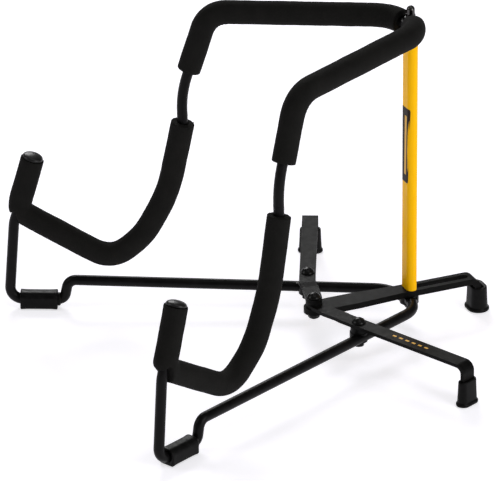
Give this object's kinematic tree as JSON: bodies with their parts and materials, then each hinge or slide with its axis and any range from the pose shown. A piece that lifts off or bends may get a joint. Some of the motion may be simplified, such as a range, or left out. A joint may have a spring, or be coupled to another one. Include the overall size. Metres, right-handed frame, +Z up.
{
  "type": "folding guitar stand",
  "caption": "Folding floor stand for an acoustic guitar: two bent rod frames with foam sleeves and cradles hinged on an oval pole, with a slotted centre leg and linked side legs.",
  "frame": {"origin": "centre of the footprint's bounding box, on the floor", "axes": "+Z up; the cradles open towards -Y and the single rear leg points to +Y; +X is the stand's left as seen by someone who faces the cradles from the front"},
  "size_m": [0.3802, 0.4169, 0.323],
  "materials": {
    "frame_paint": "semi-gloss black powder coat on bent rod",
    "leg_paint": "semi-gloss black coat",
    "pole_yellow": "glossy golden yellow",
    "label": "printed film, left plain",
    "foam": "matt closed-cell foam",
    "cap_plastic": "glossy black",
    "foot_rubber": "moulded black rubber",
    "bright_steel": "polished plating",
    "bolt_black": "black oxide",
    "washer_nylon": "black nylon"
  },
  "bodies": {
    "pole": {"pole_tube": "pole_yellow", "pole_plug_top": "washer_nylon", "pole_plug_bottom": "washer_nylon", "spine_bolt": "bright_steel", "dome_nut": "bright_steel", "cup_washer": "bolt_black", "hub_washer": "bolt_black", "slide_bush": "washer_nylon", "pole_label": "label"},
    "centre_leg": {"centre_leg": "leg_paint", "centre_leg_foot": "foot_rubber", "pivot_bolt": "bolt_black", "pivot_spacer": "washer_nylon", "pivot_washer": "washer_nylon", "pivot_nut": "bolt_black"},
    "arm_right": {"upper_rod_right": "frame_paint", "lower_rod_right": "frame_paint", "top_foam_right": "foam", "cradle_foam_right": "foam", "peg_cap_right": "cap_plastic", "floor_sleeve_right": "foot_rubber", "link_stud_right": "bolt_black", "link_spacer_right": "washer_nylon", "link_nut_right": "bolt_black"},
    "side_leg_right": {"side_leg_right": "leg_paint", "side_leg_foot_right": "foot_rubber", "link_screw_right": "bolt_black"},
    "arm_left": {"upper_rod_left": "frame_paint", "lower_rod_left": "frame_paint", "top_foam_left": "foam", "cradle_foam_left": "foam", "peg_cap_left": "cap_plastic", "floor_sleeve_left": "foot_rubber", "link_stud_left": "bolt_black", "link_spacer_left": "washer_nylon", "link_nut_left": "bolt_black"},
    "side_leg_left": {"side_leg_left": "leg_paint", "side_leg_foot_left": "foot_rubber", "link_screw_left": "bolt_black"}
  },
  "joints": [
    {"name": "fold", "type": "hinge", "parent": "pole", "child": "arm_right", "pos_m": [0, 0.1275, 0.165], "axis": [0, 0, -1], "range_deg": [0, 21]},
    {"name": "fold_left", "type": "hinge", "parent": "pole", "child": "arm_left", "pos_m": [0, 0.1275, 0.165], "axis": [0, 0, 1], "range_deg": [0, 21.1]},
    {"name": "leg_slide", "type": "slide", "parent": "pole", "child": "centre_leg", "axis": [0, -1, 0], "range_m": [0, 0.0522]},
    {"name": "leg_fold_right", "type": "hinge", "parent": "centre_leg", "child": "side_leg_right", "pos_m": [0, 0.0295, 0.04], "axis": [0, 0, 1], "range_deg": [0, 46.2]},
    {"name": "leg_fold_left", "type": "hinge", "parent": "centre_leg", "child": "side_leg_left", "pos_m": [0, 0.0295, 0.04], "axis": [0, 0, -1], "range_deg": [0, 46.2]}
  ],
  "couplings": [
    {"joint": "fold_left", "follows": "fold", "ratio": 1},
    {"joint": "leg_slide", "follows": "fold", "m_per_rad": 0.14204},
    {"joint": "leg_fold_right", "follows": "fold", "ratio": 2.1933},
    {"joint": "leg_fold_left", "follows": "fold", "ratio": 2.1933}
  ]
}
